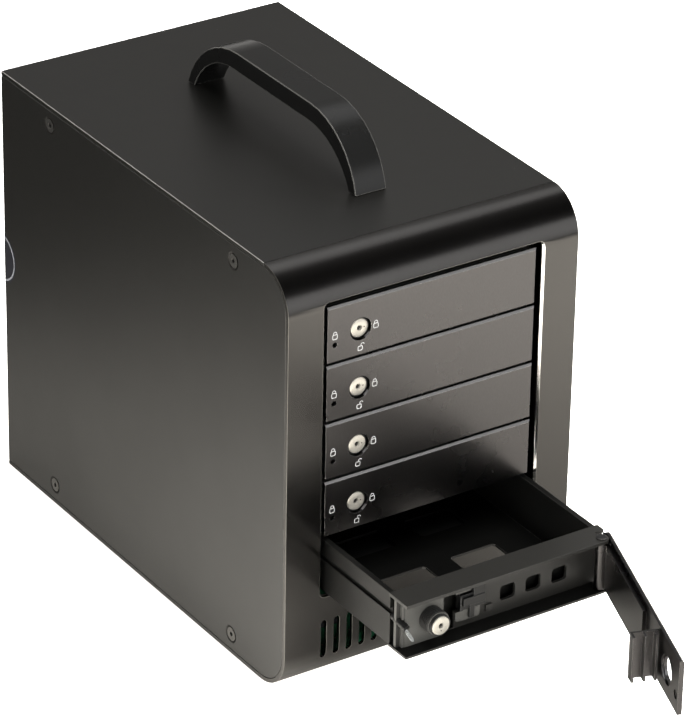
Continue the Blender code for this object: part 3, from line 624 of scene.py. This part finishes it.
def tube(points, radii, sides=12):
    """A round bar along points, with a radius at each."""
    sections = []
    for i, here in enumerate(points):
        before = Vector(points[max(0, i - 1)])
        after = Vector(points[min(len(points) - 1, i + 1)])
        way = (after - before).normalized()
        side = way.cross(Vector((1, 0, 0))).normalized()
        up = side.cross(way)
        ring = [2 * pi * k / sides for k in range(sides)]
        sections.append([Vector(here) + (side * cos(a) + up * sin(a)) * radii[i] for a in ring])
    return lofted(sections)


def along(points, step):
    """Points every step along a broken line."""
    places = []
    corners = [Vector(p) for p in points]
    for here, there in zip(corners, corners[1:]):
        count = max(1, round((there - here).length / step))
        places += [here.lerp(there, i / count) for i in range(count)]
    return [tuple(p) for p in places] + [points[-1]]


def light_pipes():
    """The clear light pipe beside each lock, in a short ribbed holder on the head's end."""
    for bay in range(BAYS):
        tray = f"tray_{bay + 1}"
        where = tray_place(bay)
        places = along([(-55.6, 16.6, 1.6), (-55.3, 12.0, 0.6), (-54.3, 7.4, -1.2)], 0.6)
        reach = [1.9 if i % 3 else 1.6 for i in range(len(places))]
        placed(tube(places, reach), where, tray + "_pipe_holder", tray, "black_plastic", "plastic",
               "plastic_edge_painted_highlight")
        rod = along([(-54.4, 8.4, -1.9), (-53.9, 5.2, -4.4), (-53.6, 2.8, -5.7)], 1.0)
        reach = [0.85] * (len(rod) - 1) + [0.5]
        placed(tube(rod, reach), where, tray + "_light_pipe", tray, "black_plastic", "clear")


# ---------------------------------------------------------------- printed marks
def padlock(x, z, width, height, opened):
    """A padlock in outline: a round-cornered body and a shackle that stands shut or swung open."""
    r = 0.45
    w, h = width / 2 - r, height / 2 - r
    body = []
    for start, cx, cz in ((-90, w, -h), (0, w, h), (90, -w, h), (180, -w, -h)):
        body += bowed(x + cx, z + cz, r, start, start + 90, 3)
    arch = width * 0.37
    top = z + height / 2
    if opened:
        foot = x + width * 0.15
        shackle = [(foot, top), (foot, top + 0.55)]
        shackle += bowed(foot + arch, top + 0.55, arch, 180, 10, 6)
    else:
        shackle = [(x - arch, top)] + bowed(x, top + 0.45, arch, 180, 0, 6) + [(x + arch, top)]
    return [ribbon(body, 0.32, PRINT_LOW, PRINT_HIGH, closed=True),
            ribbon(shackle, 0.3, PRINT_LOW, PRINT_HIGH)]


def door_marks():
    for bay in range(BAYS):
        tray = f"tray_{bay + 1}"
        marks = padlock(-31.55, -1.5, 2.45, 2.3, False)
        marks += padlock(-39.85, -10.9, 2.35, 2.1, True)
        marks += padlock(-53.55, -1.5, 2.45, 2.3, False)
        placed(joined(marks), door_place(bay), tray + "_icons", tray + "_door",
               "lock_steel", "print")


def seal_arc(radius, on_rear, steps=48):
    """The stretch of a circle of the seal that lies on one of the two faces: (along, up)."""
    turn = pi - acos(SEAL_PAST_EDGE / radius)
    span = (-turn, turn) if on_rear else (turn, 2 * pi - turn)
    angles = [span[0] + (span[1] - span[0]) * i / steps for i in range(steps + 1)]
    return [(SEAL_PAST_EDGE + radius * cos(a), radius * sin(a)) for a in angles]


def seal():
    """A round foil seal over the left rear edge, partly on the side and partly on the rear."""
    side = SIDE_FACE / MM
    rear = REAR_FACE / MM

    def at(point, lift, on_rear):
        along_face, up = point
        if on_rear:
            return (side + along_face, rear + lift, SEAL_HEIGHT + up)
        return (side - lift, rear + along_face, SEAL_HEIGHT + up)

    for face, on_rear in (("side", False), ("rear", True)):
        outline = seal_arc(SEAL_RADIUS, on_rear)
        foil = lofted([[at(p, lift, on_rear) for p in outline] for lift in SEAL_FOIL])
        inner, outer = (seal_arc(SEAL_RADIUS - inset, on_rear) for inset in SEAL_RIM)
        corners = [(o, i, i, o) for o, i in zip(outer, inner)]
        lifts = (0.0, 0.0, 0.02, 0.02)
        rim = lofted([[at(p, lift, on_rear) for p, lift in zip(c, lifts)] for c in corners])
        for shape, name, key in ((foil, "seal_foil_", "seal"), (rim, "seal_rim_", "seal_ring")):
            placed(shape, Matrix.Identity(4), name + face, "case", "case_black", key)


# ---------------------------------------------------------------- rear details
def rear_details():
    """The fan's screws, the network socket's contacts and the tongues of the two flat sockets."""
    guard_low, guard_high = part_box("fan_guard")
    middle = (guard_low + guard_high) / 2
    for i, (sx, sz) in enumerate(((-1, -1), (1, -1), (-1, 1), (1, 1))):
        aside = Vector((sx, 0.0, sz)) * FAN_SCREW * MM
        where = Matrix.Translation(Vector((middle.x, guard_high.y, middle.z)) + aside)
        head = turned([(3.4, 0.05), (3.4, 0.6), (2.9, 1.0), (1.6, 1.1), (1.3, 0.7), (0.2, 0.6)], 28)
        placed(head, where, f"fan_screw_{i + 1}", "case", "screw_black", "screw")
    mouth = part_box("port_jack")[1].y / MM
    contacts = []
    for i in range(8):
        x = JACK_X + 1.02 * (i - 3.5)
        contacts.append(box_shape(x - 0.15, x + 0.15, mouth - 13.5, mouth - 2.0,
                                  FOOT + 19.4, FOOT + 19.7))
    placed(joined(contacts), Matrix.Identity(4), "network_contacts", "case", "lock_steel", "gold")
    tongues = []
    for z in (FOOT + 26.0, FOOT + 34.2):
        tongues.append(box_shape(25.0, 36.5, mouth - 12.2, mouth - 1.5, z, z + 1.7))
    placed(joined(tongues), Matrix.Identity(4), "usb_tongues", "case", "black_plastic", "plastic")


# ---------------------------------------------------------------- studio
def camera():
    heading, tilt, roll = (radians(a) for a in (CAMERA_HEADING, CAMERA_TILT, CAMERA_ROLL))
    ahead = Vector((-sin(heading) * cos(tilt), cos(heading) * cos(tilt), -sin(tilt)))
    right = Vector((cos(heading), sin(heading), 0.0))
    up = right.cross(ahead)
    turned_right = right * cos(roll) + up * sin(roll)
    turned_up = up * cos(roll) - right * sin(roll)
    rotation = Matrix((turned_right, turned_up, -ahead)).transposed().to_4x4()
    data = bpy.data.cameras.new("camera")
    data.lens = CAMERA_LENS
    data.sensor_width = CAMERA_SENSOR
    data.clip_end = 20.0
    thing = bpy.data.objects.new("camera", data)
    thing.matrix_world = Matrix.Translation(CAMERA_PLACE) @ rotation
    bpy.context.scene.collection.objects.link(thing)
    bpy.context.scene.camera = thing


def lamp(name, place, aim, size, power, diffuse=True, glossy=True):
    """A rectangular lamp at a place, aimed at a point, for diffuse or glossy light or both."""
    data = bpy.data.lights.new(name, "AREA")
    data.shape = "RECTANGLE"
    data.size, data.size_y = size
    data.energy = power
    thing = bpy.data.objects.new(name, data)
    thing.location = place
    way = Vector(aim) - Vector(place)
    thing.rotation_euler = way.to_track_quat("-Z", "Y").to_euler()
    thing.visible_diffuse = diffuse
    thing.visible_glossy = glossy
    bpy.context.scene.collection.objects.link(thing)


def plane(name, size, z, made):
    """A square sheet of the stage."""
    shape = bmesh.new()
    bmesh.ops.create_grid(shape, x_segments=1, y_segments=1, size=size / 2)
    mesh = bpy.data.meshes.new(name)
    shape.to_mesh(mesh)
    shape.free()
    mesh.materials.append(made)
    thing = bpy.data.objects.new(name, mesh)
    thing.location.z = z
    bpy.context.scene.collection.objects.link(thing)
    return thing


def pale_floor():
    pale = finish("floor_pale", (0.86, 0.86, 0.85), 0.7, 0.0, 2 * MM, 0.0, 0.01)
    surface = pale.node_tree.nodes["Principled BSDF"]
    surface.inputs["Emission Color"].default_value = (1.0, 0.97, 0.92, 1.0)
    surface.inputs["Emission Strength"].default_value = 1.0
    floor = plane("floor", FLOOR_SIZE, FLOOR_Z, pale)
    floor.visible_glossy = False


def gloss_floor():
    """The floor as glossy surfaces see it, with painted light in its colour: a painted pool of
    light, bright at the left and fading to the front and back, and a painted shadow round the
    pulled-out tray.
    """
    painted_floor_light = bpy.data.materials.new("floor_painted_light")
    painted_floor_light.use_nodes = True
    surface = painted_floor_light.node_tree.nodes["Principled BSDF"]
    surface.inputs["Roughness"].default_value = 1.0
    surface.inputs["Specular IOR Level"].default_value = 0.0
    place = node(painted_floor_light, "ShaderNodeTexCoord").outputs["Object"]
    parts = node(painted_floor_light, "ShaderNodeSeparateXYZ", {"Vector": place})
    away = node(painted_floor_light, "ShaderNodeVectorMath", {0: place, 1: (-0.6, 1.0, 0.0)},
                operation="DOT_PRODUCT")
    reach = node(painted_floor_light, "ShaderNodeVectorMath", {0: place}, operation="LENGTH")
    # painted shadow of the pulled-out tray: the floor seen in gloss is darker close to the point
    # (0, -0.14)
    tray = node(painted_floor_light, "ShaderNodeVectorMath", {0: place, 1: (0.0, -0.14, 0.0)},
                operation="DISTANCE")
    front = ranged(painted_floor_light, tray.outputs["Value"], 0.14, 0.66, 0.0, 0.32)
    amount = ranged(painted_floor_light, parts.outputs["X"], 1.0, front, -0.11, -0.02)
    # painted pool of light: fading away from the case to the back and left, and out past 0.75 m
    for fade in (ranged(painted_floor_light, away.outputs["Value"], 1.0, 0.04, 0.0, 0.52),
                 ranged(painted_floor_light, reach.outputs["Value"], 1.0, 0.0, 0.75, 1.2)):
        both = node(painted_floor_light, "ShaderNodeMath", {0: amount, 1: fade}, operation="MULTIPLY")
        amount = both.outputs[0]
    tone = mixed(painted_floor_light, amount, (0.0, 0.0, 0.0, 1.0), (1.0, 0.95, 0.86, 1.0))
    painted_floor_light.node_tree.links.new(tone, surface.inputs["Base Color"])
    floor = plane("floor_seen_in_gloss", FLOOR_SIZE, GLOSS_FLOOR_Z, painted_floor_light)
    floor.visible_camera = False
    floor.visible_diffuse = False
    floor.visible_transmission = False
    floor.visible_shadow = False


def lamps():
    """Soft lamps for the diffuse light, and two cards that only the glossy surfaces see."""
    lamp("key", (0.2, -0.5, 1.7), (0.0, -0.02, 0.0), (1.4, 1.4), 115.0, glossy=False)
    lamp("low_front", (-0.3, -2.6, 0.6), (0.0, 0.0, 0.02), (1.6, 0.5), 80.0, glossy=False)
    lamp("low_left", (-2.5, -0.9, 0.6), (0.0, 0.05, 0.02), (1.6, 0.5), 60.0, glossy=False)
    lamp("front_card", (1.0, -1.8, 0.55), (0.0, -0.04, 0.2), (2.5, 1.0), 11.0, diffuse=False)
    lamp("band", (0.42, 0.44, 1.05), (0.0, -0.04, 0.2), (0.7, 0.4), 1.0, diffuse=False)


def surroundings():
    """A dim room that is lighter at the back, with a bright band low down behind the object."""
    world = bpy.data.worlds.new("world")
    world.use_nodes = True
    sky = world.node_tree.nodes["Background"]
    way = node(world, "ShaderNodeTexCoord").outputs["Generated"]
    parts = node(world, "ShaderNodeSeparateXYZ", {"Vector": way})
    back = ranged(world, parts.outputs["Y"], 0.05, 0.25, -0.4, 0.6)
    low = ranged(world, parts.outputs["Z"], 1.1, 0.0, 0.02, 0.18)
    behind = ranged(world, parts.outputs["Y"], 0.0, 1.0, 0.2, 0.7)
    glow = node(world, "ShaderNodeMath", {0: low, 1: behind}, operation="MULTIPLY").outputs[0]
    both = node(world, "ShaderNodeMath", {0: back, 1: glow}, operation="ADD").outputs[0]
    world.node_tree.links.new(both, sky.inputs["Strength"])
    sky.inputs["Color"].default_value = (1.0, 0.97, 0.93, 1.0)
    bpy.context.scene.world = world
    bpy.context.scene.view_settings.view_transform = "Standard"


refine_case()
refine_power_inlet()
refine_boards()
repaint_hidden()
refine_trays()
lock_faces()
lock_sleeves()
light_pipes()
door_marks()
seal()
rear_details()
camera()
pale_floor()
gloss_floor()
lamps()
surroundings()

bpy.context.view_layer.update()
